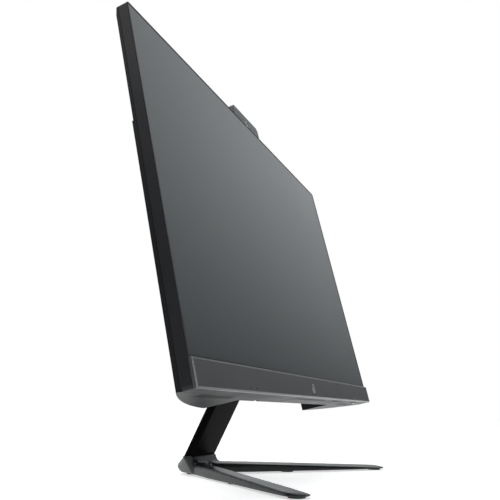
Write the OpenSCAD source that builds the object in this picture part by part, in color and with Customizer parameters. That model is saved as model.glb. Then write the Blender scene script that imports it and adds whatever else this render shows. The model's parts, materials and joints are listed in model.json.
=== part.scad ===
// All-in-one desktop computer: a slim display head with the computer inside it,
// tilting on a flat slanted neck that rises from a V-shaped foot.
// Millimetres. +X right, +Y back, +Z up. The origin is the middle of the footprint on the desk.
// The head is drawn upright in its own frame: X across, Y depth behind the glass, Z height
// above the bottom edge. on_head() sets it on the hinge, leaning back by rest_tilt.

/* [Head] */
// Width of the head
head_w = 540; // [520:1:650]
// Height of the head from the bottom edge to the top edge
head_h = 325.6; // [300:0.1:400]
// Backward lean of the head at rest, degrees
rest_tilt = 11.3; // [0:0.1:18]
// Depth of the thin upper part of the head
upper_depth = 12.4; // [12:0.1:16]
// Depth of the side edge beside the rear bulge
rim_depth = 13.5; // [13:0.1:18]
// Greatest depth of the rear bulge
bulge_depth = 61.5; // [58:0.5:80]
// Height of the top of the rear bulge above the bottom edge
bulge_h = 212; // [205:1:240]
// Height of the level back of the bulge, below its upper slope
bulge_flat_h = 100; // [80:1:120]
// Width of the level back of the bulge
bulge_flat_w = 140; // [100:1:160]
// How full the bulge is towards its edges: 2 is a plain arc
bulge_fullness = 2.2; // [2:0.1:2.6]
// Wall thickness of the plastic covers
cover_wall = 2.2; // [1.8:0.1:3]
// Wall thickness of the perimeter frame
frame_wall = 1.6; // [1.2:0.1:2.4]
// Depth of the perimeter frame behind the glass
frame_depth = 9.6; // [9:0.1:11]
// Corner radius of the head seen from the front
head_corner_r = 3; // [1:0.5:6]

/* [Chin] */
// Height of the chin bar
chin_h = 21.5; // [18:0.5:30]
// How far the chin bar stands out in front of the glass
chin_out = 3.1; // [2.5:0.1:5]
// Width of the slanted face at each end of the chin bar
chin_end_bevel = 3; // [2:0.1:8]
// Wall thickness of the chin bar
chin_wall = 1.4; // [1:0.1:1.8]
// Width of the plain round badge
badge_d = 9; // [6:0.5:12]
// Position of the status light along the chin
led_x = 181; // [120:1:230]
// Height of the status light and of the microphone holes
chin_hole_z = 3.2; // [2.6:0.1:6]
// Position of the first microphone hole along the chin
mic_x = -175.1; // [-220:0.1:-100]
// Distance between the two microphone holes
mic_gap = 13.7; // [8:0.1:20]

/* [Recess] */
// Half of the width of the rear recess that the neck enters
recess_half_w = 141; // [132:1:146]
// Height of the rear recess
recess_h = 128; // [126:1:136]
// Depth of the recess floor behind the glass
recess_floor = 24; // [23:0.5:28]

/* [Camera] */
// Width of the pop-up camera
camera_w = 81; // [60:1:100]
// Thickness of the pop-up camera
camera_t = 6.8; // [6:0.1:7.2]
// Whole height of the camera housing
camera_h = 48; // [40:1:60]
// How far the raised camera stands above the head
camera_up = 23.4; // [16:0.1:30]
// Position of the middle of the camera along the head
camera_x = 14; // [-40:1:40]
// Distance from the glass to the camera's front face
camera_y = 4.6; // [4.6:0.1:5]
// Running gap around the camera
camera_gap = 0.4; // [0.3:0.05:0.6]

/* [Neck] */
// Width of the neck
neck_w = 56; // [46:1:64]
// Thickness of the neck
neck_t = 8.8; // [8:0.1:12]
// Forward lean of the neck from vertical, degrees
neck_lean = 28.8; // [20:0.1:32]
// Length of the neck from the foot to the hinge axis
neck_len = 150; // [140:1:180]
// Position of the neck's middle on top of the foot, front to back
neck_foot_y = 70.7; // [64:0.1:74]
// Height of the top of the foot, where the neck starts
seam_z = 20; // [17:0.5:24]

/* [Hinge] */
// Depth of the hinge axis behind the glass
hinge_depth = 41.7; // [38:0.1:46]
// Height of the hinge axis above the head's bottom edge
hinge_height = 82.9; // [76:0.1:90]
// Radius of the hinge pin
pin_r = 4; // [3:0.1:5]
// Radial running clearance between the pin and the bracket
pin_clearance = 0.05; // [0.02:0.01:0.1]
// Outer radius of the hinge barrel
barrel_r = 9; // [8:0.1:10]
// Thickness of each bracket ear
ear_t = 5; // [4:0.5:7]
// Gap between a bracket ear and the parts beside it
ear_gap = 0.3; // [0.2:0.05:0.5]
// Distance between the wall-mount screws, both ways
vesa_pitch = 100; // [100:1:100]
// Radius of the holes for the wall-mount screws
vesa_hole_r = 2.2; // [2.1:0.05:2.5]

/* [Foot] */
// Rear end of the foot
foot_back_y = 97.5; // [92:0.5:104]
// Where the outer edges of the legs would meet
foot_point_y = 95; // [88:0.5:100]
// Front end of the legs
foot_front_y = -97.5; // [-110:0.5:-85]
// Half of the angle between the outer edges of the legs
foot_outer_angle = 42; // [38:0.1:45]
// Half of the angle between the inner edges of the legs
foot_inner_angle = 41.1; // [37:0.1:44]
// Where the inner edges of the legs would meet
foot_crotch_y = 64; // [58:1:68]
// Radius of the round end of each leg
leg_tip_r = 11.8; // [10:0.1:13]
// Height of the top of a leg at its front end
leg_tip_z = 3.8; // [3.4:0.1:6]
// Height of the top of the legs at the rear
leg_root_z = 14.4; // [10:0.1:16]
// Slope of the top of each leg towards the inside of the V, degrees
leg_top_fall = 4.6; // [0:0.1:5]
// Thickness of the rubber pads under the foot
pad_h = 1.2; // [1:0.1:2]

/* [Inside] */
// Radius of the fan
fan_r = 27; // [22:0.5:30]
// Thickness of the fan housing
fan_t = 12; // [10:0.5:14]
// Number of fan blades
fan_blades = 17; // [9:1:25]
// Thickness of a circuit board
board_t = 1.6; // [1.2:0.1:2]
// Travel of the power button
button_travel = 1.2; // [0.8:0.1:2]

/* [Hidden] */
$fn = 64;
eps = 0.01;
big = 700;

// Display stack, depths behind the glass
panel_front = 0.35;
panel_back = 1.9;
tray_back = 4.2;
chassis_back = 5.2;
stack_side = 1.8;
stack_top = 1.9;

// Inside of the covers
recess_wall = cover_wall;
board_front = recess_floor - board_t;
board_back = board_front + board_t;
board_bottom = recess_h + recess_wall + 0.8;
board_top = min(188, bulge_h - 24);
board_half_w = 130;
board_leg = [recess_half_w + 5, head_w / 2 - 56];
board_leg_low = 60;
board_posts = [
    [-124, board_top - 6], [0, board_top - 6], [124, board_top - 6], [-124, board_bottom + 6],
    [board_leg[1] - 6, board_top - 6], [board_leg[0] + 6, board_leg_low + 6],
    [board_leg[1] - 6, board_leg_low + 6]
];
screw_x = head_w / 2 - 20;
screw_places = [for (s = [-1, 1]) each [[s * screw_x, 14], [s * screw_x, bulge_h - 12]]];

// Ports that open into the ceiling of the recess: middle of each along the head
port_x_dc = -120;
port_x_display = -98;
port_x_audio = -74;
port_x_lan = 122;
port_x_usb = [70, 86, 102];
port_top = recess_h + 16;
port_gap = 0.3;
lock_x = -102;

// Fan and speakers
fan_x = 84 - head_w / 2;
fan_z = 104;
fan_y = 16;
speaker_x = bulge_flat_w / 2 + 0.65 * (head_w / 2 - bulge_flat_w / 2);
speaker_z = 21;
speaker_size = [76, 13, 28];
speaker_y = 11.5;

// Small round windows beside the camera's lens
camera_dots = [-24, -14, 14, 24];

// Power button under the head
button_x = head_w / 2 - 65;
button_y = 6;
button_size = [16, 4.4];
button_out = 0.9;
button_body_h = 6;

// Neck layers and hinge places
spine_w = neck_w - 10;
spine_t = 3.4;
neck_shell_end = neck_len - barrel_r - 1.2;
washer_t = 4.8;
ear_x = neck_w / 2 + washer_t + ear_gap;
nut_x = ear_x + ear_t + ear_gap;
nut_t = 4;
bracket_t = 2.5;
bracket_half_w = 60;
hinge_y = neck_foot_y - neck_len * sin(neck_lean);
hinge_z = seam_z + neck_len * cos(neck_lean);
vesa_z = hinge_height - 17;
vesa_corners = [for (x = [-1, 1], z = [-1, 1]) [x * vesa_pitch / 2, vesa_z + z * vesa_pitch / 2]];

// Foot outline
leg_mid_angle = (foot_outer_angle + foot_inner_angle) / 2;
leg_mid_y = (foot_point_y + foot_crotch_y) / 2;
tip_y = foot_front_y + leg_tip_r;
tip_x = (leg_mid_y - tip_y) * tan(leg_mid_angle);
heel_r = 9;
heel_y = foot_point_y - heel_r / sin(foot_outer_angle);
pad_sink = 0.8;
pad_r = 7;
neck_block = [neck_w + 3, neck_t / cos(neck_lean) + 2.4];
base_screw_x = 15;
base_plate = [44, 8.6, 4];

// Places a shape drawn in the head's own frame
module on_head() {
    translate([0, hinge_y, hinge_z])
        rotate([-rest_tilt, 0, 0])
            translate([0, -hinge_depth, -hinge_height])
                children();
}

// Places a shape drawn with Z along the neck, starting at the foot
module on_neck() {
    translate([0, neck_foot_y, seam_z])
        rotate([neck_lean, 0, 0])
            children();
}

// A box by its lowest and highest corner
module block(low, high) {
    translate(low) cube(high - low);
}

// A cylinder along Y from y0 to y1
module rod_y(x, z, y0, y1, r) {
    translate([x, y0, z]) rotate([-90, 0, 0]) cylinder(h = y1 - y0, r = r);
}

// A cylinder along X from x0 to x1
module rod_x(y, z, x0, x1, r) {
    translate([x0, y, z]) rotate([0, 90, 0]) cylinder(h = x1 - x0, r = r);
}

// A rectangle with round corners, drawn in X and Z and pushed from y0 to y1
module plate_y(low, high, y0, y1, r) {
    translate([0, y1, 0]) rotate([90, 0, 0]) linear_extrude(y1 - y0) round_rect(low, high, r);
}

module round_rect(low, high, r) {
    translate([low[0] + r, low[1]]) square([high[0] - low[0] - 2 * r, high[1] - low[1]]);
    translate([low[0], low[1] + r]) square([high[0] - low[0], high[1] - low[1] - 2 * r]);
    for (x = [low[0] + r, high[0] - r], z = [low[1] + r, high[1] - r])
        translate([x, z]) circle(r);
}

// ---- Foot ----

// Plan of one leg of the V, on side s: straight edges and a round end
module leg_plan(s) {
    side_x = leg_tip_r * cos(leg_mid_angle);
    side_y = leg_tip_r * sin(leg_mid_angle);
    heel_x = heel_r * cos(foot_outer_angle);
    heel_side_y = heel_y + heel_r * sin(foot_outer_angle);
    polygon([
        [0, foot_crotch_y],
        [0, heel_side_y],
        [s * heel_x, heel_side_y],
        [s * (tip_x + side_x), tip_y + side_y],
        [s * (tip_x - side_x), tip_y - side_y]
    ]);
    translate([s * tip_x, tip_y]) circle(leg_tip_r);
}

// One leg: its top falls towards the front and towards the inside of the V
module leg(s) {
    run = (foot_point_y - foot_front_y) / cos(foot_outer_angle);
    pitch = atan((leg_root_z - leg_tip_z) / run);
    difference() {
        translate([0, 0, pad_h]) linear_extrude(leg_root_z) leg_plan(s);
        translate([0, foot_point_y, leg_root_z])
            rotate([0, 0, s * foot_outer_angle])
                rotate([0, -s * leg_top_fall, 0])
                    rotate([pitch, 0, 0])
                        translate([-big / 2, -big / 2, 0]) cube(big);
    }
}

// The casting rises from the root of the V to the end of the neck
module foot_rise() {
    r = 3;
    hull() {
        for (x = [-1, 1], y = [-1, 1])
            translate([x * (neck_block[0] / 2 - r), neck_foot_y + y * (neck_block[1] / 2 - r), seam_z - 1])
                cylinder(h = 1, r = r, $fn = 32);
        translate([0, heel_y + 2.5, pad_h]) cylinder(h = 1, r = heel_r - 0.4, $fn = 32);
        translate([0, foot_back_y - heel_r, leg_root_z * 0.45])
            cylinder(h = leg_root_z * 0.25, r = heel_r, $fn = 32);
        for (s = [-1, 1])
            translate([s * (neck_block[0] / 2 - 6), foot_crotch_y - 1, pad_h])
                cylinder(h = leg_root_z - pad_h - 3, r = 4, $fn = 32);
    }
}

module pad_places() {
    for (s = [-1, 1]) {
        translate([s * tip_x, tip_y, 0]) children();
        translate([s * tip_x * 0.5, (tip_y + leg_mid_y) / 2, 0]) children();
    }
    translate([0, heel_y - 3, 0]) children();
}

module foot() {
    color("#2c2e31")
        difference() {
            union() {
                leg(-1);
                leg(1);
                foot_rise();
            }
            pad_places() cylinder(h = pad_h + pad_sink, r = pad_r);
            base_plate_block();
            for (s = [-1, 1]) {
                translate([s * base_screw_x, neck_foot_y, -1]) cylinder(h = seam_z, r = 2.2);
                translate([s * base_screw_x, neck_foot_y, -1]) cylinder(h = 10, r = 4.2);
            }
        }
}

module foot_pads() {
    color("#151515") pad_places() cylinder(h = pad_h + pad_sink, r = pad_r);
}

// Plate at the bottom of the neck's core, let into the top of the foot
module base_plate_block() {
    translate([-base_plate[0] / 2, neck_foot_y - base_plate[1] / 2, seam_z - base_plate[2]])
        cube(base_plate);
}

// Two screws hold the neck down onto the foot
module base_screws() {
    color("#6d7074")
        for (s = [-1, 1])
            translate([s * base_screw_x, neck_foot_y, 0])
                difference() {
                    union() {
                        translate([0, 0, 5.6]) cylinder(h = 3.4, r = 3.8);
                        translate([0, 0, 5.6]) cylinder(h = seam_z - 6.2, r = 2);
                    }
                    translate([0, 0, 5]) cylinder(h = 2.6, r = 1.6, $fn = 6);
                }
}

// ---- Neck ----

// Steel core with the hinge barrel at its top
module neck_spine() {
    color("#3b3d40")
        difference() {
            union() {
                difference() {
                    on_neck() {
                        difference() {
                            block([-spine_w / 2, -spine_t / 2, -6],
                                  [spine_w / 2, spine_t / 2, neck_len - pin_r - 2]);
                            for (z = [40, 75, 110])
                                rod_y(0, z, -spine_t, spine_t, 9);
                        }
                        rod_x(0, neck_len, -neck_w / 2, neck_w / 2, barrel_r);
                    }
                    below_seam();
                }
                base_plate_block();
            }
            on_neck() rod_x(0, neck_len, -neck_w, neck_w, pin_r);
            for (s = [-1, 1])
                translate([s * base_screw_x, neck_foot_y, 0]) cylinder(h = seam_z - 0.6, r = 2);
        }
}

// Everything below the top of the foot
module below_seam() {
    translate([-big / 2, -big / 2, seam_z - big]) cube([big, big, big]);
}

// Front or rear skin of the neck: side = -1 in front, 1 behind
module neck_skin(side) {
    inner = spine_t / 2;
    outer = neck_t / 2;
    difference() {
        on_neck()
            difference() {
                plate_y([-neck_w / 2, -8], [neck_w / 2, neck_shell_end],
                        side < 0 ? -outer : 0, side < 0 ? 0 : outer, 1.2);
                block([-spine_w / 2, -inner, -20], [spine_w / 2, inner, neck_len]);
            }
        below_seam();
    }
}

module neck_front_cover() {
    color("#0f1012") neck_skin(-1);
}

module neck_rear_cover() {
    color("#131416") neck_skin(1);
}

// ---- Hinge ----

module hinge_pin() {
    reach = nut_x + nut_t + 1;
    color("silver") on_neck() rod_x(0, neck_len, -reach, reach, pin_r);
}

module hinge_nuts() {
    color("silver")
        on_neck()
            for (s = [-1, 1])
                difference() {
                    translate([s * (nut_x + nut_t / 2), 0, neck_len])
                        rotate([0, 90, 0]) cylinder(h = nut_t, r = 7.5, center = true, $fn = 6);
                    rod_x(0, neck_len, -neck_w, neck_w, pin_r);
                }
}

// Spring washers that hold the tilt by friction
module friction_washers() {
    color("#8f7a4a")
        on_neck()
            for (s = [-1, 1], i = [0 : 3])
                translate([s * (neck_w / 2 + (i + 0.5) * washer_t / 4), 0, neck_len])
                    rotate([0, 90, 0])
                        difference() {
                            cylinder(h = washer_t / 4, r = i % 2 == 0 ? 8 : 7, center = true);
                            cylinder(h = washer_t, r = pin_r, center = true);
                        }
}

// Steel plate on the recess floor with two ears around the hinge
module hinge_bracket() {
    plate_low = [-bracket_half_w, vesa_z - vesa_pitch / 2 - 8];
    plate_high = [bracket_half_w, min(recess_h - 2, vesa_z + vesa_pitch / 2 + 8)];
    plate_face = recess_floor + bracket_t;
    color("#55585c")
        on_head()
            difference() {
                union() {
                    plate_y(plate_low, plate_high, recess_floor, plate_face, 6);
                    for (s = [-1, 1])
                        translate([s * (ear_x + ear_t / 2), 0, 0])
                            rotate([90, 0, 90])
                                linear_extrude(ear_t, center = true) {
                                    translate([hinge_depth, hinge_height]) circle(barrel_r);
                                    polygon([
                                        [plate_face - 1, hinge_height - 22],
                                        [plate_face - 1, hinge_height + 22],
                                        [hinge_depth, hinge_height + barrel_r],
                                        [hinge_depth, hinge_height - barrel_r]
                                    ]);
                                }
                }
                rod_x(hinge_depth, hinge_height, -big / 2, big / 2, pin_r + pin_clearance);
                for (c = vesa_corners)
                    rod_y(c[0], c[1], recess_floor - 1, plate_face + 1, vesa_hole_r);
            }
}

module vesa_screws() {
    face = recess_floor + bracket_t;
    color("#8d9094")
        on_head()
            for (c = vesa_corners)
                difference() {
                    union() {
                        rod_y(c[0], c[1], face, face + 2.6, 3.8);
                        rod_y(c[0], c[1], face - 10, face, 1.9);
                    }
                    rod_y(c[0], c[1], face + 1.2, face + 3, 1.5, $fn = 6);
                }
}

// Threaded studs on the steel chassis behind the recess floor
module vesa_studs() {
    color("#9a9da1")
        on_head()
            for (c = vesa_corners)
                difference() {
                    rod_y(c[0], c[1], chassis_back, recess_floor - recess_wall, 5);
                    rod_y(c[0], c[1], chassis_back + 2, recess_floor, 1.9);
                }
}

// ---- Display ----

// Slot in the top of the head that the camera rises through
module camera_slot(extra) {
    block([camera_x - camera_w / 2 - extra, camera_y - extra, head_h - 60],
          [camera_x + camera_w / 2 + extra, camera_y + camera_t + extra, head_h + 5]);
}

// Long openings under the head for the speakers
module underside_slots() {
    for (span = [[-25, 69], [105, 161]])
        block([span[0], 5.6, -1], [span[1], 7.4, frame_wall + 1]);
}

module mid_frame() {
    color("#2b2c2f")
        on_head()
            difference() {
                plate_y([-head_w / 2, 0], [head_w / 2, head_h], 0, frame_depth, head_corner_r);
                plate_y([frame_wall - head_w / 2, frame_wall], [head_w / 2 - frame_wall, head_h - frame_wall],
                        -1, frame_depth + 1, max(0.4, head_corner_r - frame_wall));
                camera_slot(camera_gap);
                underside_slots();
                button_hole();
            }
}

module lcd_panel() {
    color("#54565a")
        on_head()
            plate_y([stack_side - head_w / 2, chin_h + 0.3], [head_w / 2 - stack_side, head_h - stack_top],
                    panel_front, panel_back, 1.4);
}

module backlight_tray() {
    color("#b4b7ba")
        on_head()
            plate_y([stack_side + 0.6 - head_w / 2, chin_h + 0.7],
                    [head_w / 2 - stack_side - 0.6, head_h - stack_top - 0.4],
                    panel_back, tray_back, 1.2);
}

// Steel sheet that everything is screwed to, with lightening windows
module chassis_plate() {
    top = bulge_h - 7;
    color("#a3a6aa")
        on_head()
            difference() {
                plate_y([8 - head_w / 2, 8], [head_w / 2 - 8, top], tray_back, chassis_back, 4);
                for (s = [-1, 1], i = [0 : 2]) {
                    x = s * (113 + i * 56);
                    plate_y([x - 23, top - 34], [x + 23, top - 12], 0, chassis_back + 1, 4);
                }
            }
}

// Board that drives the display, low on the back of the steel sheet
module display_board() {
    color("#1f5a3a")
        on_head()
            difference() {
                block([-125, chassis_back, 24], [-65, chassis_back + board_t, 52]);
                for (x = [-121, -69])
                    rod_y(x, 48, 0, 20, 1.5);
            }
}

// ---- Chin ----

// Side view of the chin bar: flat front, sloping top edge and eased bottom edge
module chin_side(front, low, high) {
    polygon([
        [0, low],
        [1 - front, low],
        [-front, low + 1],
        [-front, high - 1.6],
        [1.5 - front, high],
        [0, high]
    ]);
}

module chin_bar() {
    end = head_w / 2;
    color("#4a4c50")
        on_head()
            difference() {
                intersection() {
                    rotate([90, 0, 90])
                        linear_extrude(head_w, center = true)
                            chin_side(chin_out, 0, chin_h);
                    linear_extrude(chin_h + 1)
                        polygon([
                            [-end, 0],
                            [-end, 1 - chin_out],
                            [chin_end_bevel - end, -chin_out],
                            [end - chin_end_bevel, -chin_out],
                            [end, 1 - chin_out],
                            [end, 0]
                        ]);
                }
                block([chin_end_bevel - end, chin_wall - chin_out, chin_wall],
                      [end - chin_end_bevel, 1, chin_h - 2.4]);
                for (x = [mic_x, mic_x + mic_gap])
                    rod_y(x, chin_hole_z, -chin_out - 1, 1, 0.8);
                rod_y(led_x, chin_hole_z, -chin_out - 1, 1, 0.9);
            }
}

// Plain round badge in the middle of the chin
module badge() {
    color("#b9bcc0")
        on_head() rod_y(2, chin_h * 0.43, -chin_out - 0.35, -chin_out, badge_d / 2);
}

module status_light() {
    color("#e8eef2")
        on_head() {
            rod_y(led_x, chin_hole_z, -chin_out, -chin_out + chin_wall, 0.9);
            block([led_x - 3, chin_wall - chin_out, 1.8], [led_x + 3, -0.3, 6]);
        }
}

module microphone_board() {
    front = chin_wall - chin_out;
    color("#1f5a3a")
        on_head()
            difference() {
                block([mic_x - 7, front, 1.6], [mic_x + mic_gap + 7, front + 0.8, 8]);
                for (x = [mic_x, mic_x + mic_gap])
                    rod_y(x, chin_hole_z, front - 1, front + 2, 0.5);
            }
}

// ---- Covers ----

// Depth of the rear bulge at a distance x from the middle, a parabola beyond the level part
function bulge_plan(x) =
    let (run = head_w / 2 - bulge_flat_w / 2, u = max(0, abs(x) - bulge_flat_w / 2) / run)
    rim_depth + (bulge_depth - rim_depth) * (1 - pow(u, bulge_fullness));

// Depth of the rear bulge at height z, the same curve above the level part
function bulge_rise(z) = let (u = max(0, z - bulge_flat_h) / (bulge_h - bulge_flat_h))
    rim_depth + (bulge_depth - rim_depth) * (1 - pow(u, bulge_fullness));

// The bulge, drawn smaller by inset on its rear face and its edges
module bulge_body(inset) {
    steps = 22;
    half = head_w / 2;
    run = half - bulge_flat_w / 2;
    plan = [for (i = [-steps : steps]) let (x = (i < 0 ? -1 : 1) * (bulge_flat_w / 2 + run * abs(i) / steps))
        [i == 0 ? 0 : x * (1 - inset / half), bulge_plan(i == 0 ? 0 : x) - inset]];
    rise = [for (i = [0 : steps]) let (z = bulge_flat_h + (bulge_h - bulge_flat_h) * i / steps)
        [bulge_rise(z) - inset, z - inset * i / steps]];
    front = frame_depth + (inset > 0 ? -eps : 0);
    intersection() {
        translate([0, 0, inset])
            linear_extrude(bulge_h - 2 * inset)
                polygon(concat([[inset - half, front]], plan, [[half - inset, front]]));
        rotate([90, 0, 90])
            linear_extrude(big, center = true)
                polygon(concat([[front, inset], [bulge_depth - inset, inset]],
                               rise, [[front, bulge_h - inset]]));
    }
}

// Space of the recess, drawn larger by grow on its walls, floor and ceiling
module recess_space(grow) {
    block([-recess_half_w - grow, recess_floor - grow, -1 - grow],
          [recess_half_w + grow, big, recess_h + grow]);
}

// Vertical slots high on the bulge that let warm air out
module exhaust_slots() {
    reach = head_w / 2 - 42;
    for (x = [-reach : 6 : reach])
        if (abs(x) > 20)
            block([x - 1.2, 20, bulge_h - 48], [x + 1.2, big, bulge_h - 26]);
}

// Slots low on the left and right of the bulge that let air in
module intake_slots() {
    for (s = [-1, 1], i = [0 : 11]) {
        x = s * (head_w / 2 - 114 + i * 6);
        block([x - 1.2, 22, 70], [x + 1.2, big, 112]);
    }
}

// Speaker slots in the underside of the bulge
module speaker_slots() {
    for (s = [-1, 1], i = [0 : 12]) {
        x = s * (speaker_x - 30 + i * 5);
        block([x - 1, 13, -1], [x + 1, 22, cover_wall + 1]);
    }
}

module service_cover() {
    color("#232426")
        on_head()
            difference() {
                union() {
                    difference() {
                        bulge_body(0);
                        bulge_body(cover_wall);
                        exhaust_slots();
                        intake_slots();
                    }
                    intersection() {
                        bulge_body(0);
                        recess_space(recess_wall);
                    }
                }
                recess_space(0);
                lock_notch();
                speaker_slots();
                port_windows();
                for (c = vesa_corners)
                    rod_y(c[0], c[1], recess_floor - 5, recess_floor + 1, vesa_hole_r);
                for (c = screw_places)
                    rod_y(c[0], c[1], 0, big, 1.7);
            }
}

// Thin upper back of the head, with a low box over the camera
module rear_cover() {
    half = head_w / 2;
    back = upper_depth;
    box_back = camera_y + camera_t + 3.2;
    box_half = camera_w / 2 + 6;
    box_low = head_h - camera_h - 8;
    chamfer = 9.5;
    color("#2a2b2e")
        on_head()
            difference() {
                union() {
                    intersection() {
                        plate_y([-half, bulge_h], [half, head_h], frame_depth, back, head_corner_r);
                        rotate([90, 0, 90])
                            linear_extrude(big, center = true)
                                polygon([
                                    [0, 0],
                                    [0, head_h],
                                    [back - 1.6, head_h],
                                    [back, head_h - chamfer],
                                    [back, 0]
                                ]);
                    }
                    block([-half, frame_depth, bulge_h], [half, back, bulge_h + 6]);
                    plate_y([camera_x - box_half, box_low], [camera_x + box_half, head_h],
                            frame_depth, box_back, 2.5);
                }
                block([frame_wall - half, 0, bulge_h - 1],
                      [half - frame_wall, back - 1.8, head_h - frame_wall]);
                block([camera_x - box_half + 1.6, 0, box_low + 1.6],
                      [camera_x + box_half - 1.6, box_back - 1.6, head_h - frame_wall]);
                camera_slot(camera_gap);
            }
}

module cover_screws() {
    color("#3a3c3f")
        on_head()
            for (c = screw_places) {
                face = bulge_plan(c[0]) - cover_wall;
                difference() {
                    rod_y(c[0], c[1], chassis_back, face + 1.2, 1.6);
                    rod_y(c[0], c[1], face + 0.4, face + 2, 0.9, $fn = 6);
                }
            }
}

// ---- Computer ----

module motherboard() {
    color("#20583a")
        on_head()
            difference() {
                union() {
                    block([-board_half_w, board_front, board_bottom], [board_leg[1], board_back, board_top]);
                    block([board_leg[0], board_front, board_leg_low], [board_leg[1], board_back, board_top]);
                    for (c = board_posts)
                        rod_y(c[0], c[1], chassis_back, board_front, 3);
                }
                for (c = board_posts)
                    rod_y(c[0], c[1], chassis_back + 3, board_back + 1, 1.4);
            }
}

module cpu_heatsink() {
    color("#b98a5c")
        on_head() {
            block([-60, board_back, 142], [-22, board_back + 3, 180]);
            block([-56, board_back + 3, 146], [-26, board_back + 5, 176]);
        }
}

// Flattened copper pipe from the processor plate to the fins
module heat_pipe() {
    y = board_back + 5;
    color("#c07a4a")
        on_head() block([fan_x - 26, y, 157], [-24, y + 3, 165]);
}

module heat_fins() {
    y = board_back + 5;
    color("#c8cbce")
        on_head()
            for (i = [0 : 17])
                block([fan_x - 26 + i * 3, y - 9, 145], [fan_x - 26 + i * 3 + 0.8, y, 170]);
}

// Flat blower housing, open in front for the air and above for the fins
module fan_housing() {
    half = fan_r + 3;
    color("#1d1e20")
        on_head()
            difference() {
                union() {
                    plate_y([fan_x - half, fan_z - half], [fan_x + half, fan_z + half + 6],
                            fan_y, fan_y + fan_t, 3);
                    for (s = [-1, 1])
                        rod_y(fan_x + s * (half - 4), fan_z - half + 4, chassis_back, fan_y, 2.5);
                }
                rod_y(fan_x, fan_z, fan_y + 1.2, fan_y + fan_t - 1.2, fan_r + 0.8);
                block([fan_x - fan_r, fan_y + 1.2, fan_z],
                      [fan_x + fan_r, fan_y + fan_t - 1.2, fan_z + big / 2]);
                rod_y(fan_x, fan_z, fan_y + 5, fan_y + fan_t + 1, fan_r - 5);
                rod_y(fan_x, fan_z, fan_y - 1, fan_y + 3, 1.55);
            }
}

// Blower wheel with its hub and shaft; it turns freely
module fan_rotor() {
    y0 = fan_y + 2;
    y1 = fan_y + fan_t - 2;
    color("#2f3134")
        on_head() {
            rod_y(fan_x, fan_z, y0, y1, 11);
            rod_y(fan_x, fan_z, fan_y, y0, 1.5);
            rod_y(fan_x, fan_z, y0, y0 + 1, fan_r - 1);
            for (i = [0 : fan_blades - 1])
                translate([fan_x, 0, fan_z])
                    rotate([0, (i + 0.4) * 360 / fan_blades, 0])
                        translate([10, y0 + 0.5, 0])
                            rotate([0, 20, 0]) cube([fan_r - 13, y1 - y0 - 1, 0.9]);
        }
}

module memory_module() {
    y = board_back;
    color("#1c4f36")
        on_head() {
            block([-14, y, 142], [58, y + 4, 147]);
            block([-12, y + 1.5, 147], [56, y + 2.7, 172]);
            for (i = [0 : 3])
                block([-8 + i * 16, y + 2.7, 150], [4 + i * 16, y + 3.8, 166]);
        }
}

module ssd_card() {
    x = board_leg[0] + 14;
    y = board_back;
    color("#183d2c")
        on_head() {
            block([x, y, 152], [x + 22, y + 3.4, 158]);
            block([x, y + 1.4, 76], [x + 22, y + 2.2, 152]);
            block([x + 3, y + 2.2, 84], [x + 19, y + 3.4, 106]);
            block([x + 3, y + 2.2, 112], [x + 19, y + 3.4, 134]);
            rod_y(x + 11, 80, y, y + 1.4, 2.5);
        }
}

module wifi_card() {
    x = board_leg[0] + 42;
    y = board_back;
    color("#7b8086")
        on_head() {
            block([x, y, 112], [x + 22, y + 3, 117]);
            block([x, y + 1.2, 84], [x + 22, y + 2, 112]);
            block([x + 3, y + 2, 88], [x + 19, y + 3, 106]);
        }
}

module clock_battery() {
    color("#c9ccd0")
        on_head() rod_y(-84, 168, board_back, board_back + 3.2, 10);
}

// A sealed speaker box with its round cone facing down
module speaker(s) {
    x = s * speaker_x;
    half = speaker_size[0] / 2;
    on_head()
        difference() {
            block([x - half, speaker_y, speaker_z - speaker_size[2] / 2],
                  [x + half, speaker_y + speaker_size[1], speaker_z + speaker_size[2] / 2]);
            for (i = [-1, 1])
                translate([x + i * 18, speaker_y + speaker_size[1] / 2, speaker_z - speaker_size[2] / 2 - 1])
                    cylinder(h = 3.5, r = 5.4);
        }
    on_head()
        for (i = [-1, 1])
            rod_y(x + i * (half - 5), speaker_z + 6, chassis_back, speaker_y, 3);
}

module speaker_left() {
    color("#18191b") speaker(-1);
}

module speaker_right() {
    color("#18191b") speaker(1);
}

// Two flat aerials at the top corners of the head
module antennas() {
    color("#c8a050")
        on_head()
            for (s = [-1, 1]) {
                x = s * (head_w / 2 - 55);
                block([x - 22, tray_back, head_h - 16], [x + 22, tray_back + 1.2, head_h - 6]);
            }
}

// ---- Ports ----

// Windows in the recess ceiling, one around each port
module port_window(x, half_w, deep) {
    block([x - half_w - port_gap, recess_floor - 0.1, recess_h - 2],
          [x + half_w + port_gap, board_back + deep + port_gap, recess_h + recess_wall + 2]);
}

module port_windows() {
    port_window(port_x_dc, 6, 11);
    port_window(port_x_audio, 4.5, 9);
    port_window(port_x_display, 9, 7.4);
    port_window(port_x_lan, 8.4, 13.6);
    for (x = port_x_usb)
        port_window(x, 7.2, 7.4);
}

// Metal or plastic body of a port with a rectangular socket that opens downwards
module port_body(x, half_w, deep, socket, socket_deep) {
    mid = board_back + deep / 2;
    difference() {
        block([x - half_w, board_back, recess_h], [x + half_w, board_back + deep, port_top]);
        block([x - socket[0] / 2, mid - socket[1] / 2, recess_h - 1],
              [x + socket[0] / 2, mid + socket[1] / 2, recess_h + socket_deep]);
    }
}

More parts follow.
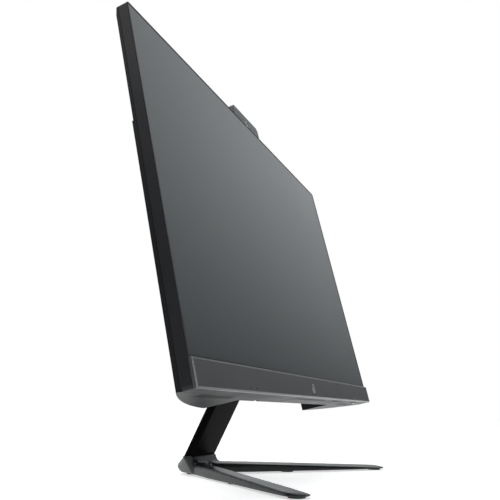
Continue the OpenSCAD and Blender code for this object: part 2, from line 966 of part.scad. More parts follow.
module dc_inlet() {
    y = board_back + 5.5;
    color("#1a1a1c")
        on_head() {
            difference() {
                block([port_x_dc - 6, board_back, recess_h], [port_x_dc + 6, board_back + 11, port_top]);
                translate([port_x_dc, y, recess_h - 1]) cylinder(h = 12, r = 3.7);
            }
            translate([port_x_dc, y, recess_h + 2]) cylinder(h = 10, r = 0.8);
        }
}

module audio_jack() {
    color("#1a1a1c")
        on_head()
            difference() {
                block([port_x_audio - 4.5, board_back, recess_h],
                      [port_x_audio + 4.5, board_back + 9, port_top]);
                translate([port_x_audio, board_back + 4.5, recess_h - 1]) cylinder(h = 15, r = 1.8);
            }
}

module lan_port() {
    color("#b9bcc0") on_head() port_body(port_x_lan, 8.4, 13.6, [12, 8.4], 12);
}

// Three sockets side by side, each with its contact tongue
module usb_ports() {
    tongue_y = board_back + 4.9;
    color("#b9bcc0")
        on_head()
            for (x = port_x_usb) {
                port_body(x, 7.2, 7.4, [12.5, 5.2], 11);
                block([x - 5.5, tongue_y, recess_h + 1], [x + 5.5, tongue_y + 1.2, recess_h + 11]);
            }
}

module display_port() {
    y = board_back + 3.7;
    color("#a9acb0")
        on_head() {
            port_body(port_x_display, 9, 7.4, [16, 5.2], 10);
            block([port_x_display - 6.5, y - 0.5, recess_h + 1],
                  [port_x_display + 6.5, y + 0.5, recess_h + 10]);
        }
}

// Gap in the lower edge of the recess floor below the lock slot
module lock_notch() {
    block([lock_x - 4, recess_floor - recess_wall - 1, -1], [lock_x + 4, recess_floor + 1, 1.6]);
}

// Reinforced slot for a security lock, just above the lower edge of the recess floor
module lock_slot() {
    color("#77797d")
        on_head()
            difference() {
                block([lock_x - 5.5, recess_floor, 4], [lock_x + 5.5, recess_floor + 1.2, 18]);
                block([lock_x - 3.5, recess_floor - 1, 7], [lock_x + 3.5, recess_floor + 2, 10.2]);
            }
}

// ---- Pop-up camera ----

module camera_housing() {
    top = head_h + camera_up;
    half = camera_w / 2;
    color("#54565a")
        on_head()
            difference() {
                plate_y([camera_x - half, top - camera_h], [camera_x + half, top],
                        camera_y, camera_y + camera_t, 6);
                plate_y([camera_x - half + 5, top - 17.5], [camera_x + half - 5, top - 3.5],
                        camera_y - 1, camera_y + 0.8, 5);
                rod_y(camera_x, top - 10.5, camera_y - 1, camera_y + 4, 4);
            }
}

// Dark strip across the camera's face
module camera_window() {
    top = head_h + camera_up;
    half = camera_w / 2;
    color("#1b1c1f")
        on_head()
            difference() {
                plate_y([camera_x - half + 5, top - 17.5], [camera_x + half - 5, top - 3.5],
                        camera_y, camera_y + 0.8, 5);
                rod_y(camera_x, top - 10.5, camera_y - 1, camera_y + 4, 4);
                for (x = camera_dots)
                    rod_y(camera_x + x, top - 10.5, camera_y - 1, camera_y + 4, 1.2);
            }
}

module camera_lens() {
    top = head_h + camera_up;
    color("#30343c")
        on_head()
            difference() {
                rod_y(camera_x, top - 10.5, camera_y + 0.3, camera_y + 4, 4);
                rod_y(camera_x, top - 10.5, camera_y, camera_y + 1, 2);
            }
}

// Infrared lamps, light sensor and busy light beside the lens
module camera_sensor_dots() {
    top = head_h + camera_up;
    color("#4a2028")
        on_head()
            for (x = camera_dots)
                rod_y(camera_x + x, top - 10.5, camera_y + 0.2, camera_y + 0.8, 1.2);
}

// Channels on the steel tray that the camera slides in
module camera_rails() {
    reach = camera_w / 2 + camera_gap;
    back = camera_y + camera_t;
    color("#8b8e92")
        on_head()
            for (s = [-1, 1]) {
                low = head_h - camera_h - 1;
                x0 = camera_x + s * reach;
                block([min(x0, x0 + s * 2.6), tray_back, low], [max(x0, x0 + s * 2.6), back, head_h - 3]);
            }
}

// ---- Power button ----

module button_hole() {
    gap = 0.35;
    half = button_size[0] / 2 + gap;
    block([button_x - half, button_y - button_size[1] / 2 - gap, -1],
          [button_x + half, button_y + button_size[1] / 2 + gap, frame_wall + 1]);
}

module power_button() {
    half = button_size / 2;
    rim = 0.9;
    color("#6b6e72")
        on_head() {
            block([button_x - half[0], button_y - half[1], -button_out],
                  [button_x + half[0], button_y + half[1], button_body_h]);
            block([button_x - half[0] - rim, button_y - half[1] - rim, frame_wall + 0.1],
                  [button_x + half[0] + rim, button_y + half[1] + rim, frame_wall + 1]);
        }
}

// Small switch above the button
module button_switch() {
    low = button_body_h + button_travel + 0.3;
    color("#202124")
        on_head() block([button_x - 4, chassis_back, low], [button_x + 4, chassis_back + 3.4, low + 5]);
}

foot();
foot_pads();
base_screws();
neck_spine();
neck_front_cover();
neck_rear_cover();
hinge_pin();
hinge_nuts();
friction_washers();
hinge_bracket();
vesa_screws();
vesa_studs();
mid_frame();
lcd_panel();
backlight_tray();
chassis_plate();
display_board();
chin_bar();
badge();
status_light();
microphone_board();
rear_cover();
service_cover();
cover_screws();
motherboard();
cpu_heatsink();
heat_pipe();
heat_fins();
fan_housing();
fan_rotor();
memory_module();
ssd_card();
wifi_card();
clock_battery();
speaker_left();
speaker_right();
antennas();
dc_inlet();
audio_jack();
lan_port();
usb_ports();
display_port();
lock_slot();
camera_housing();
camera_window();
camera_lens();
camera_sensor_dots();
camera_rails();
power_button();
button_switch();
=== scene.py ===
import json
import math

import bmesh
import bpy
from mathutils import Matrix, Vector

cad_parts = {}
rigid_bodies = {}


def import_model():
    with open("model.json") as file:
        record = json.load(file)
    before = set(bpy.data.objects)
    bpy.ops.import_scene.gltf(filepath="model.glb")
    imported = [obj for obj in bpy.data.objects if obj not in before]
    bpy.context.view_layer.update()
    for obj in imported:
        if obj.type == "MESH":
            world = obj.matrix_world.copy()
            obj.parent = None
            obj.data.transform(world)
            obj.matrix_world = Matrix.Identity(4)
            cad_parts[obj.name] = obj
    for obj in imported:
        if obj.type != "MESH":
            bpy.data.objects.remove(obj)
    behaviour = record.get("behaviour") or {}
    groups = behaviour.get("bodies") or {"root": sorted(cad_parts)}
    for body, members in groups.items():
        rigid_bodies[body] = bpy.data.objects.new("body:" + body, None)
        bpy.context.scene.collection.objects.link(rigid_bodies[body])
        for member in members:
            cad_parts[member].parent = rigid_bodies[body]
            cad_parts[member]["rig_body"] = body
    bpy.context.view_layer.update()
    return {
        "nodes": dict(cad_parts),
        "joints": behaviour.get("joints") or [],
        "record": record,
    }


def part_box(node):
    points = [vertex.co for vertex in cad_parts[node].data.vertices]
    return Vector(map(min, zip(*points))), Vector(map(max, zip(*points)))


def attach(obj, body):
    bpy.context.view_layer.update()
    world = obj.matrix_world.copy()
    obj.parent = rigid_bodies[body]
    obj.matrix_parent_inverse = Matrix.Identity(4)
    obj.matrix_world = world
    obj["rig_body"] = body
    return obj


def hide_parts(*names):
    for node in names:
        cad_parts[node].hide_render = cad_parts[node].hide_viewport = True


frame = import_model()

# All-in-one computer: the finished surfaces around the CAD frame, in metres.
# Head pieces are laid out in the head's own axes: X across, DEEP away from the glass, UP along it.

NODES = frame["nodes"]
JOINTS = {joint["name"]: joint for joint in frame["joints"]}
SLOTS = {part["node"]: part["material_slot"] for part in frame["record"]["subparts"]}
MM = 0.001
# Corners of a CAD node closer than this are one corner
WELD = 0.004 * MM
SCENE = bpy.context.scene

# ---- Head axes, from the camera's slide and the perimeter frame ----

UP = Vector(JOINTS["camera_slide"]["axis"])
DEEP = Vector((0, UP.z, -UP.y))
TILT = math.atan2(UP.y, UP.z)


def reach(node, axis):
    """How far a CAD node reaches along an axis: lowest and highest."""
    values = [vertex.co.dot(axis) for vertex in NODES[node].data.vertices]
    return min(values), max(values)


GLASS = reach("mid_frame", DEEP)[0]
HEAD_BASE = reach("mid_frame", UP)[0]
HEAD = Matrix.Translation(DEEP * GLASS + UP * HEAD_BASE) @ Matrix.Rotation(-TILT, 4, "X")


def head_box(node):
    """Lowest and highest corners of a head node in the head's own axes."""
    x, deep, up = reach(node, Vector((1, 0, 0))), reach(node, DEEP), reach(node, UP)
    low = Vector((x[0], deep[0] - GLASS, up[0] - HEAD_BASE))
    high = Vector((x[1], deep[1] - GLASS, up[1] - HEAD_BASE))
    return low, high


# ---- Meshes ----


def object_from(bm, name, smooth_angle=35):
    """Turns a bmesh into an object whose place is in its mesh, smooth except at sharp edges."""
    bmesh.ops.recalc_face_normals(bm, faces=bm.faces)
    mesh = bpy.data.meshes.new(name)
    bm.to_mesh(mesh)
    bm.free()
    mesh.shade_smooth()
    mesh.set_sharp_from_angle(angle=math.radians(smooth_angle))
    piece = bpy.data.objects.new(name, mesh)
    SCENE.collection.objects.link(piece)
    return piece


def welded_copy(node):
    """A bmesh of a CAD node with its loose triangles joined at their corners."""
    bm = bmesh.new()
    bm.from_mesh(NODES[node].data)
    bmesh.ops.remove_doubles(bm, verts=bm.verts, dist=WELD)
    return bm


def merged_copy(node):
    """A bmesh of a CAD node with its triangles joined into flat faces."""
    bm = welded_copy(node)
    bmesh.ops.dissolve_limit(
        bm, angle_limit=math.radians(0.4), verts=bm.verts, edges=bm.edges
    )
    return bm


def eased(node, name, width, segments=2, angle=28, smooth_angle=35):
    """A CAD node with its edges rounded off by width."""
    bm = merged_copy(node)
    limit = math.radians(angle)
    edges = [e for e in bm.edges if e.is_manifold and e.calc_face_angle(0) > limit]
    bmesh.ops.bevel(
        bm, geom=edges, offset=width, segments=segments, profile=0.5,
        affect="EDGES", clamp_overlap=True, loop_slide=True,
    )
    piece = object_from(bm, name, smooth_angle)
    flat = piece.modifiers.new("flat_faces", "WEIGHTED_NORMAL")
    flat.keep_sharp = True
    stands_for(piece, node)
    return piece


def apply_modifiers(piece):
    """Turns what the piece's modifiers make into its own mesh, and takes them off."""
    graph = bpy.context.evaluated_depsgraph_get()
    mesh = bpy.data.meshes.new_from_object(piece.evaluated_get(graph))
    piece.modifiers.clear()
    piece.data = mesh


def stands_for(piece, *nodes):
    """The piece rides with the CAD nodes that it stands for, which are hidden."""
    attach(piece, NODES[nodes[0]]["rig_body"])
    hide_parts(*nodes)


def dress(piece, material):
    piece.data.materials.clear()
    piece.data.materials.append(material)


# ---- Shader node groups ----


def add_node(tree, kind, inputs=None, **settings):
    """One node, with its settings, and its inputs as values or as sockets to link from."""
    made = tree.nodes.new(kind)
    for key, value in settings.items():
        setattr(made, key, value)
    for key, value in (inputs or {}).items():
        if isinstance(value, bpy.types.NodeSocket):
            tree.links.new(value, made.inputs[key])
        else:
            made.inputs[key].default_value = value
    return made


def add(tree, kind, inputs=None, **settings):
    """One shader node, named without its ShaderNode prefix."""
    return add_node(tree, "ShaderNode" + kind, inputs, **settings)


def shader_group(name, inputs, outputs):
    """An empty shader group with float inputs {name: default} and outputs {name: socket type}."""
    tree = bpy.data.node_groups.new(name, "ShaderNodeTree")
    for key, value in inputs.items():
        socket = tree.interface.new_socket(key, in_out="INPUT", socket_type="NodeSocketFloat")
        socket.default_value = value
    for key, kind in outputs.items():
        tree.interface.new_socket(key, in_out="OUTPUT", socket_type="NodeSocket" + kind)
    return tree, tree.nodes.new("NodeGroupInput").outputs, tree.nodes.new("NodeGroupOutput").inputs


def maths(tree, operation, a, b):
    return add(tree, "Math", {0: a, 1: b}, operation=operation).outputs[0]


def make_grain_group():
    """Fine moulded or cast texture: its height, and soft patches where hands and cloths polish it."""
    tree, given, out = shader_group(
        "surface_grain", {"Grain Size": 0.0005, "Patch Size": 0.06}, {"Height": "Float", "Patches": "Float"}
    )
    place = add(tree, "TexCoord").outputs["Object"]
    fine = maths(tree, "DIVIDE", 1.0, given["Grain Size"])
    broad = maths(tree, "DIVIDE", 1.0, given["Patch Size"])
    grain = add(tree, "TexNoise", {"Vector": place, "Scale": fine, "Detail": 2.5, "Roughness": 0.6})
    pits = add(tree, "TexVoronoi", {"Vector": place, "Scale": fine, "Randomness": 1.0})
    patches = add(tree, "TexNoise", {"Vector": place, "Scale": broad, "Detail": 4.0, "Roughness": 0.55})
    height = maths(tree, "ADD", grain.outputs[0], maths(tree, "MULTIPLY", pits.outputs["Distance"], 0.5))
    tree.links.new(height, out["Height"])
    tree.links.new(patches.outputs[0], out["Patches"])
    return tree


def make_edge_group():
    """Rounds the shading at edges and masks them, broken up, for a painted highlight along them."""
    tree, given, out = shader_group("eased_edge", {"Width": 0.0004}, {"Normal": "Vector", "Edge": "Float"})
    bevel = add(tree, "Bevel", {"Radius": given["Width"]}, samples=4)
    flat = add(tree, "NewGeometry").outputs["Normal"]
    turn = add(tree, "VectorMath", {0: bevel.outputs[0], 1: flat}, operation="DOT_PRODUCT").outputs["Value"]
    mask = add(tree, "MapRange", {"Value": turn, "From Min": 0.995, "From Max": 0.8})
    place = add(tree, "TexCoord").outputs["Object"]
    breaks = add(tree, "TexNoise", {"Vector": place, "Scale": 260.0, "Detail": 3.0})
    broken = maths(tree, "MULTIPLY", mask.outputs[0], breaks.outputs[0])
    tree.links.new(bevel.outputs[0], out["Normal"])
    tree.links.new(broken, out["Edge"])
    return tree


def make_brush_group():
    """Long fine scratches along X, as brushing and rolling leave them."""
    tree, given, out = shader_group(
        "brushed_lines", {"Line Width": 0.0002, "Length Ratio": 40.0}, {"Height": "Float"}
    )
    place = add(tree, "TexCoord").outputs["Object"]
    narrow = maths(tree, "DIVIDE", 1.0, given["Line Width"])
    long = maths(tree, "DIVIDE", narrow, given["Length Ratio"])
    size = add(tree, "CombineXYZ", {"X": long, "Y": narrow, "Z": narrow}).outputs[0]
    stretched = add(tree, "VectorMath", {0: place, 1: size}, operation="MULTIPLY").outputs[0]
    lines = add(tree, "TexNoise", {"Vector": stretched, "Scale": 1.0, "Detail": 3.0})
    tree.links.new(lines.outputs[0], out["Height"])
    return tree


def make_dust_group():
    """A thin settled dust on what faces up."""
    tree, given, out = shader_group("settled_dust", {"Amount": 0.3}, {"Dust": "Float"})
    facing = add(tree, "SeparateXYZ", {0: add(tree, "NewGeometry").outputs["Normal"]}).outputs["Z"]
    up = add(tree, "MapRange", {"Value": facing, "From Min": 0.4, "From Max": 1.0}).outputs[0]
    place = add(tree, "TexCoord").outputs["Object"]
    specks = add(tree, "TexNoise", {"Vector": place, "Scale": 900.0, "Detail": 4.0, "Roughness": 0.7})
    some = add(tree, "MapRange", {"Value": specks.outputs[0], "From Min": 0.45, "From Max": 0.75}).outputs[0]
    amount = maths(tree, "MULTIPLY", maths(tree, "MULTIPLY", up, some), given["Amount"])
    tree.links.new(amount, out["Dust"])
    return tree


GRAIN = make_grain_group()
EDGE = make_edge_group()
BRUSH = make_brush_group()
DUST = make_dust_group()


def use(tree, group, **values):
    """Places a shader group in a material; underscores in the value names stand for spaces."""
    made = tree.nodes.new("ShaderNodeGroup")
    made.node_tree = group
    for key, value in values.items():
        made.inputs[key.replace("_", " ")].default_value = value
    return made.outputs


# ---- Materials ----

DUST_COLOUR = (0.42, 0.41, 0.39, 1.0)
# How far roughness strays to either side of a finish's own, as a share of it
GLOSS_SPREAD = 0.12


def mix_colour(tree, factor, a, b):
    return add(tree, "Mix", {0: factor, 6: a, 7: b}, data_type="RGBA").outputs[2]


def rgba(colour, factor=1.0):
    return (*[min(1.0, channel * factor) for channel in colour], 1.0)


def new_material(name, **sockets):
    """A material with a Principled BSDF whose constant sockets are set here."""
    material = bpy.data.materials.new(name)
    material.use_nodes = True
    tree = material.node_tree
    shader = tree.nodes["Principled BSDF"]
    for key, value in sockets.items():
        shader.inputs[key.replace("_", " ")].default_value = value
    return material, tree, shader


def finish(
    name, colour, roughness, grain=0.0005, bump=0.05, patch=0.06, spread=0.12, edge=0.0004,
    edge_light=1.6, dust=0.1, brush=None, **sockets,
):
    """A solid finish: colour and roughness vary in soft patches, edges get a painted highlight, dust settles
    on top.
    """
    material, tree, shader = new_material(name, **sockets)
    surface = use(tree, GRAIN, Grain_Size=grain, Patch_Size=patch)
    rim = use(tree, EDGE, Width=edge)
    settled = use(tree, DUST, Amount=dust)
    varied = mix_colour(tree, surface["Patches"], rgba(colour, 1 - spread), rgba(colour, 1 + spread))
    # Painted highlight: the colour is made lighter by edge_light along the edges.
    edge_highlighted = mix_colour(tree, rim["Edge"], varied, rgba(colour, edge_light))
    dusty = mix_colour(tree, settled["Dust"], edge_highlighted, DUST_COLOUR)
    gloss = add(
        tree, "MapRange",
        {"Value": surface["Patches"], "From Min": 0.3, "From Max": 0.7,
         "To Min": roughness * (1 - GLOSS_SPREAD), "To Max": min(1.0, roughness * (1 + GLOSS_SPREAD))},
    ).outputs[0]
    height = surface["Height"]
    if brush:
        height = maths(tree, "ADD", height, use(tree, BRUSH, Line_Width=brush)["Height"])
    relief = add(
        tree, "Bump",
        {"Height": height, "Normal": rim["Normal"], "Strength": bump, "Distance": grain},
    )
    tree.links.new(dusty, shader.inputs["Base Color"])
    tree.links.new(gloss, shader.inputs["Roughness"])
    tree.links.new(relief.outputs[0], shader.inputs["Normal"])
    return material


def screen_finish():
    """Anti-glare film over the dark panel, with the opaque border around the picture area."""
    border = 1.6 * MM
    film_grain = 0.12 * MM
    low, high = head_box("lcd_panel")
    material, tree, shader = new_material("anti_glare_screen", Specular_IOR_Level=0.5, IOR=1.5)
    place = add(tree, "TexCoord").outputs["Object"]
    local = add(tree, "Mapping", {"Vector": place, "Rotation": (TILT, 0, 0)}).outputs[0]
    axes = add(tree, "SeparateXYZ", {0: local})
    middle = (low + high) / 2
    offset = HEAD.translation.copy()
    offset.rotate(Matrix.Rotation(TILT, 3, "X"))
    across = maths(tree, "ABSOLUTE", axes.outputs["X"], 0.0)
    up = maths(tree, "ABSOLUTE", maths(tree, "SUBTRACT", axes.outputs["Z"], middle.z + offset.z), 0.0)
    side = maths(tree, "GREATER_THAN", across, high.x - border)
    edge = maths(tree, "GREATER_THAN", up, (high.z - low.z) / 2 - border)
    frame_mask = maths(tree, "MAXIMUM", side, edge)
    film = use(tree, GRAIN, Grain_Size=film_grain, Patch_Size=0.12)
    panel = mix_colour(tree, film["Patches"], (0.030, 0.035, 0.038, 1), (0.034, 0.040, 0.043, 1))
    colour = mix_colour(tree, frame_mask, panel, (0.01, 0.01, 0.0105, 1))
    gloss = add(
        tree, "MapRange",
        {"Value": film["Patches"], "From Min": 0.3, "From Max": 0.7, "To Min": 0.2, "To Max": 0.24},
    ).outputs[0]
    relief = add(tree, "Bump", {"Height": film["Height"], "Strength": 0.12, "Distance": film_grain})
    tree.links.new(colour, shader.inputs["Base Color"])
    tree.links.new(gloss, shader.inputs["Roughness"])
    tree.links.new(relief.outputs[0], shader.inputs["Normal"])
    return material


def board_finish():
    """Green solder mask with copper tracks showing under it and bright solder points."""
    material, tree, shader = new_material("circuit_board", Coat_Weight=0.4, Coat_Roughness=0.25)
    place = add(tree, "TexCoord").outputs["Object"]
    tracks = add(
        tree, "TexVoronoi", {"Vector": place, "Scale": 320.0, "Randomness": 0.15}, distance="CHEBYCHEV"
    ).outputs["Distance"]
    lines = add(tree, "MapRange", {"Value": tracks, "From Min": 0.36, "From Max": 0.42}).outputs[0]
    dots = add(tree, "TexVoronoi", {"Vector": place, "Scale": 420.0, "Randomness": 0.6})
    solder = maths(tree, "LESS_THAN", dots.outputs["Distance"], 0.12)
    mask = mix_colour(tree, lines, (0.008, 0.055, 0.026, 1), (0.02, 0.12, 0.05, 1))
    colour = mix_colour(tree, solder, mask, (0.55, 0.54, 0.5, 1))
    relief = add(tree, "Bump", {"Height": lines, "Strength": 0.3, "Distance": 0.00005})
    rough = add(tree, "MapRange", {"Value": lines, "To Min": 0.45, "To Max": 0.35}).outputs[0]
    tree.links.new(colour, shader.inputs["Base Color"])
    tree.links.new(rough, shader.inputs["Roughness"])
    tree.links.new(relief.outputs[0], shader.inputs["Normal"])
    return material


MATERIALS = {
    "foot_metal": finish(
        "satin_painted_zinc", (0.009, 0.0095, 0.0105), 0.3, grain=0.0004, bump=0.05, edge=0.0006,
        edge_light=1.5, dust=0.02, Specular_IOR_Level=0.3,
    ),
    "rubber": finish("black_rubber", (0.012, 0.012, 0.012), 0.75, grain=0.0006, bump=0.2, dust=0.0),
    "steel": finish(
        "zinc_plated_steel", (0.55, 0.56, 0.57), 0.32, grain=0.0005, bump=0.05, brush=0.0002,
        edge_light=1.3, Metallic=1.0,
    ),
    "dark_steel": finish(
        "black_coated_steel", (0.035, 0.036, 0.038), 0.42, grain=0.0004, bump=0.12,
        edge_light=2.2, Metallic=0.6,
    ),
    "neck_plastic": finish(
        "gloss_black_plastic", (0.0035, 0.0036, 0.004), 0.24, grain=0.0012, bump=0.015, edge=0.0006,
        edge_light=1.5, dust=0.01, Specular_IOR_Level=0.006,
    ),
    "frame_plastic": finish(
        "charcoal_frame_plastic", (0.014, 0.0145, 0.016), 0.45, grain=0.00035, bump=0.12, edge=0.0005,
        edge_light=1.5, Specular_IOR_Level=0.18,
    ),
    "screen": screen_finish(),
    "tray_metal": finish(
        "rolled_aluminium", (0.6, 0.61, 0.62), 0.35, grain=0.0005, bump=0.04, brush=0.00015,
        edge_light=1.2, Metallic=1.0,
    ),
    "chin_plastic": finish(
        "dark_grey_satin", (0.049, 0.0505, 0.0535), 0.3, grain=0.00025, bump=0.06, edge=0.0005, edge_light=1.5
    ),
    "badge_metal": finish("bright_badge", (0.6, 0.61, 0.63), 0.25, brush=0.0001, bump=0.05, Metallic=1.0),
    "light_plastic": finish(
        "frosted_light_pipe", (0.7, 0.74, 0.78), 0.35, grain=0.0003, Subsurface_Weight=0.2
    ),
    "cover_plastic": finish(
        "textured_cover_plastic", (0.009, 0.0095, 0.011), 0.42, grain=0.00045, bump=0.2, edge=0.0005,
        edge_light=1.6, Specular_IOR_Level=0.15,
    ),
    "board": board_finish(),
    "copper": finish(
        "bare_copper", (0.75, 0.38, 0.22), 0.3, bump=0.06, brush=0.0002, edge_light=1.2, Metallic=1.0
    ),
    "black_plastic": finish("black_moulded_plastic", (0.014, 0.014, 0.015), 0.45, grain=0.0004, bump=0.1),
    "camera_plastic": finish(
        "camera_satin_grey", (0.075, 0.077, 0.081), 0.42, grain=0.0003, bump=0.08, edge=0.0005, edge_light=1.4
    ),
    "dark_window": finish(
        "smoked_window", (0.02, 0.0205, 0.022), 0.3, grain=0.001, bump=0.01, Specular_IOR_Level=0.3
    ),
    "lens_glass": finish(
        # The lens's light grey base colour is a painted glint.
        "coated_lens_painted_glint", (0.3, 0.31, 0.34), 0.12, grain=0.001, bump=0.005, Coat_Weight=1.0, Coat_Roughness=0.02
    ),
}

for name, cad in NODES.items():
    dress(cad, MATERIALS[SLOTS[name]])

# ---- Pieces that take over from plain CAD nodes, with rounded edges ----

# CAD node: the finished piece's name and the width of its rounded edges in millimetres
EASED = {
    "neck_front_cover": ("neck_front_skin", 0.7),
    "neck_rear_cover": ("neck_rear_skin", 0.7),
    "hinge_bracket": ("hinge_plate", 0.35),
    "mid_frame": ("perimeter_frame", 0.4),
    "chin_bar": ("chin", 0.35),
    "rear_cover": ("upper_back", 0.4),
    "camera_housing": ("camera_shell", 0.6),
    "badge": ("plain_badge", 0.12),
    "power_button": ("power_key", 0.3),
    "hinge_nuts": ("hinge_end_nuts", 0.3),
}
for cad_name, (piece_name, width) in EASED.items():
    dress(eased(cad_name, piece_name, width * MM), MATERIALS[SLOTS[cad_name]])


# The foot's skin is a grid this fine
FOOT_GRID = 0.8 * MM
# Rounds of smoothing over the whole foot, around the neck's block, and along the tips
FOOT_SMOOTHING = (("", 8), ("hub", 70), ("tips", 40))
# The hollow by the neck's block is centred this far in front of the rearmost pad's edge
HUB_INSET = 18 * MM
# Its smoothing is full up to HUB_REACH - 1 spans from there and ends at HUB_REACH spans
HUB_SPAN = 34 * MM
HUB_REACH = 1.8
# The foot's top edge, where the neck meets it, stays crisp, and the smoothing grows below it
SEAM_EDGE = 0.9 * MM
SEAM_FADE = 2 * MM
# Smoothing of the tips starts this far behind them and grows to full
TIP_LENGTH = 26 * MM
TIP_FADE = 20 * MM


def share(value):
    """The value held between 0 and 1."""
    return max(0.0, min(1.0, value))


def cast_foot():
    """The V-shaped casting: its corners eased, and a soft hollow where the legs run up to the neck."""
    foot = object_from(merged_copy("foot"), "foot_casting")
    grid = foot.modifiers.new("grid", "REMESH")
    grid.mode = "VOXEL"
    grid.voxel_size = FOOT_GRID
    apply_modifiers(foot)
    low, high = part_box("foot")
    centre = Vector((0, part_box("foot_pads")[1].y - HUB_INSET, high.z))
    hub = foot.vertex_groups.new(name="hub")
    tips = foot.vertex_groups.new(name="tips")
    for vertex in foot.data.vertices:
        near = share(HUB_REACH - (vertex.co - centre).length / HUB_SPAN)
        below_seam = share((high.z - SEAM_EDGE - vertex.co.z) / SEAM_FADE)
        at_tip = share((low.y + TIP_LENGTH - vertex.co.y) / TIP_FADE)
        hub.add([vertex.index], near * below_seam, "REPLACE")
        tips.add([vertex.index], at_tip, "REPLACE")
    for group, rounds in FOOT_SMOOTHING:
        soft = foot.modifiers.new("soften", "SMOOTH")
        soft.factor = 0.5
        soft.iterations = rounds
        soft.vertex_group = group
    apply_modifiers(foot)
    foot.data.shade_smooth()
    foot.vertex_groups.clear()
    stands_for(foot, "foot")
    return foot


def rear_housing():
    """The rear housing as one smooth shell, cleaned up from its flat strips."""
    piece = object_from(merged_copy("service_cover"), "rear_housing", 20)
    stands_for(piece, "service_cover")
    return piece


dress(rear_housing(), MATERIALS["cover_plastic"])
dress(cast_foot(), MATERIALS["foot_metal"])

# ---- Repeated details, made with Geometry Nodes ----

# The key's hole: its share of the ring's radius, and the cutter's length in ring heights
KEY_HOLE = 0.55
KEY_DEPTH = 3.0
# How far a ring stands out from the end of its screw
RING_PROUD = 0.15 * MM


def make_socket_rings_group():
    """On each point of the mesh: a low ring with a six-sided hole, the end of a socket screw."""
    tree = bpy.data.node_groups.new("socket_rings", "GeometryNodeTree")
    face = tree.interface
    face.new_socket("Geometry", in_out="INPUT", socket_type="NodeSocketGeometry")
    for name, value in (("Radius", 0.002), ("Height", 0.0005)):
        face.new_socket(name, in_out="INPUT", socket_type="NodeSocketFloat").default_value = value
    face.new_socket("Direction", in_out="INPUT", socket_type="NodeSocketVector").default_value = (0, 0, 1)
    face.new_socket("Material", in_out="INPUT", socket_type="NodeSocketMaterial")
    face.new_socket("Geometry", in_out="OUTPUT", socket_type="NodeSocketGeometry")
    given = tree.nodes.new("NodeGroupInput").outputs
    out = tree.nodes.new("NodeGroupOutput").inputs
    inner = maths(tree, "MULTIPLY", given["Radius"], KEY_HOLE)
    deep = maths(tree, "MULTIPLY", given["Height"], KEY_DEPTH)
    disc = add_node(
        tree, "GeometryNodeMeshCylinder",
        {"Vertices": 32, "Radius": given["Radius"], "Depth": given["Height"]},
    )
    hexagon = add_node(tree, "GeometryNodeMeshCylinder", {"Vertices": 6, "Radius": inner, "Depth": deep})
    ring = add_node(tree, "GeometryNodeMeshBoolean", operation="DIFFERENCE")
    tree.links.new(disc.outputs["Mesh"], ring.inputs["Mesh 1"])
    tree.links.new(hexagon.outputs["Mesh"], ring.inputs["Mesh 2"])
    turn = add_node(tree, "FunctionNodeAlignRotationToVector", {"Vector": given["Direction"]}, axis="Z")
    points = add_node(tree, "GeometryNodeMeshToPoints", {"Mesh": given["Geometry"]})
    placed = add_node(
        tree, "GeometryNodeInstanceOnPoints",
        {"Points": points.outputs[0], "Instance": ring.outputs[0], "Rotation": turn.outputs[0]},
    )
    real = add_node(tree, "GeometryNodeRealizeInstances", {0: placed.outputs[0]})
    dressed = add_node(
        tree, "GeometryNodeSetMaterial", {"Geometry": real.outputs[0], "Material": given["Material"]}
    )
    tree.links.new(dressed.outputs[0], out["Geometry"])
    return tree


SOCKET_RINGS = make_socket_rings_group()


def islands(node):
    """The separate solids of a CAD node, as lists of vertex places."""
    bm = welded_copy(node)
    left = set(bm.verts)
    found = []
    while left:
        group, waiting = [], [left.pop()]
        while waiting:
            vertex = waiting.pop()
            group.append(vertex.co.copy())
            for edge in vertex.link_edges:
                other = edge.other_vert(vertex)
                if other in left:
                    left.remove(other)
                    waiting.append(other)
        found.append(group)
    bm.free()
    return found


def screw_sockets(node, name, direction, radius, height):
    """A socketed ring on the outer end of each screw of a node, just proud of the CAD end."""
    places = []
    for group in islands(node):
        far = max(place.dot(direction) for place in group)
        centre = sum(group, Vector()) / len(group)
        places.append(centre + direction * (far - centre.dot(direction) - height / 2 + RING_PROUD))
    mesh = bpy.data.meshes.new(name)
    mesh.from_pydata([tuple(place) for place in places], [], [])
    piece = bpy.data.objects.new(name, mesh)
    SCENE.collection.objects.link(piece)
    made = piece.modifiers.new("rings", "NODES")
    made.node_group = SOCKET_RINGS
    values = {
        "Radius": radius, "Height": height, "Direction": tuple(direction),
        "Material": MATERIALS[SLOTS[node]],
    }
    for item in SOCKET_RINGS.interface.items_tree:
        if item.in_out == "INPUT" and item.name in values:
            made[item.identifier] = values[item.name]
    piece.update_tag()
    apply_modifiers(piece)
    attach(piece, NODES[node]["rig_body"])


screw_sockets("cover_screws", "cover_screw_sockets", DEEP, 1.55 * MM, 0.5 * MM)
screw_sockets("base_screws", "base_screw_sockets", Vector((0, 0, -1)), 3.7 * MM, 0.6 * MM)

# ---- Floor, light and camera, in metres, watts and degrees ----

FLOOR_GAP = 0.2 * MM
FLOOR_GLOW = 0.6

# The room's light grows along this direction, from dim to bright between the two distances
ROOM_RISE = (0.9, 0.7, 1.5)
ROOM_FADE = (0.8, 1.4)
ROOM_LIGHT = (0.05, 0.86)
ROOM_TINT = (0.94, 0.98, 1.0, 1.0)
WHITE = (1.0, 1.0, 1.0, 1.0)

# Name: place, aim, size, power
LAMPS = {
    "top": ((0, 0.3, 2.4), (0, 0.1, 0), (2.4, 2.4), 14),
    "front": ((1.2, -2.0, 0.45), (0, 0, 0.15), (0.9, 1.1), 14),
    "left": ((-1.1, 0.45, 1.1), (-0.2, 0.05, 0.35), (0.6, 0.6), 3.5),
}

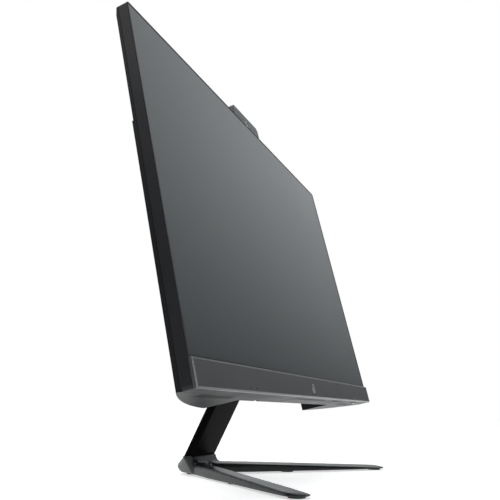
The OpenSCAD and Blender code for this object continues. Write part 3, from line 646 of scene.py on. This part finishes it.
CAMERA_PLACE = (-0.6462, -0.25, 0.0617)
CAMERA_YAW = 26.41
CAMERA_PITCH = 16.02
CAMERA_SHIFT = (0.1008, -0.0286)
CAMERA_RANGE = (0.01, 50)
LENS_MM = 44.94
SENSOR_MM = 36


def make_floor():
    bpy.ops.mesh.primitive_plane_add(size=12)
    floor = bpy.context.object
    floor.name = "floor"
    floor.location.z = -FLOOR_GAP
    material, tree, shader = new_material(
        "pale_floor", Roughness=0.7, Specular_IOR_Level=0.1, Emission_Strength=FLOOR_GLOW
    )
    place = add(tree, "TexCoord").outputs["Object"]
    cloud = add(tree, "TexNoise", {"Vector": place, "Scale": 3.0, "Detail": 3.0})
    colour = mix_colour(tree, cloud.outputs[0], (0.93, 0.93, 0.93, 1), (0.96, 0.96, 0.96, 1))
    tree.links.new(colour, shader.inputs["Base Color"])
    tree.links.new(colour, shader.inputs["Emission Color"])
    floor.data.materials.append(material)


def make_world():
    """A white room, lit more from the top, the right and the back, as large lamps there give it."""
    world = bpy.data.worlds.new("white_studio")
    world.use_nodes = True
    tree = world.node_tree
    towards = add(tree, "TexCoord").outputs["Object"]
    rise = add(tree, "VectorMath", {0: towards, 1: ROOM_RISE}, operation="DOT_PRODUCT").outputs["Value"]
    light = add(
        tree, "MapRange",
        {"Value": rise, "From Min": ROOM_FADE[0], "From Max": ROOM_FADE[1],
         "To Min": ROOM_LIGHT[0], "To Max": ROOM_LIGHT[1]},
    )
    seen = add(tree, "LightPath").outputs["Is Camera Ray"]
    strength = maths(tree, "MAXIMUM", light.outputs[0], seen)
    tree.links.new(strength, tree.nodes["Background"].inputs["Strength"])
    tint = mix_colour(tree, seen, ROOM_TINT, WHITE)
    tree.links.new(tint, tree.nodes["Background"].inputs["Color"])
    SCENE.world = world


def area_light(name, place, aim, size, power):
    light = bpy.data.lights.new(name, "AREA")
    light.shape = "RECTANGLE"
    light.size, light.size_y = size
    light.energy = power
    lamp = bpy.data.objects.new(name, light)
    lamp.location = place
    lamp.rotation_euler = (Vector(aim) - Vector(place)).to_track_quat("-Z", "Y").to_euler()
    SCENE.collection.objects.link(lamp)


def make_camera():
    """Low and close on the left, looking up across the screen."""
    yaw, pitch = math.radians(CAMERA_YAW), math.radians(CAMERA_PITCH)
    look = Vector((math.cos(pitch) * math.cos(yaw), math.cos(pitch) * math.sin(yaw), math.sin(pitch)))
    lens = bpy.data.cameras.new("camera")
    lens.sensor_fit = "HORIZONTAL"
    lens.sensor_width = SENSOR_MM
    lens.lens = LENS_MM
    lens.shift_x, lens.shift_y = CAMERA_SHIFT
    lens.clip_start, lens.clip_end = CAMERA_RANGE
    camera = bpy.data.objects.new("camera", lens)
    camera.location = CAMERA_PLACE
    camera.rotation_euler = look.to_track_quat("-Z", "Y").to_euler()
    SCENE.collection.objects.link(camera)
    SCENE.camera = camera


SCENE.view_settings.view_transform = "Standard"
make_world()
make_floor()
for lamp_name, lamp_settings in LAMPS.items():
    area_light(lamp_name, *lamp_settings)
make_camera()
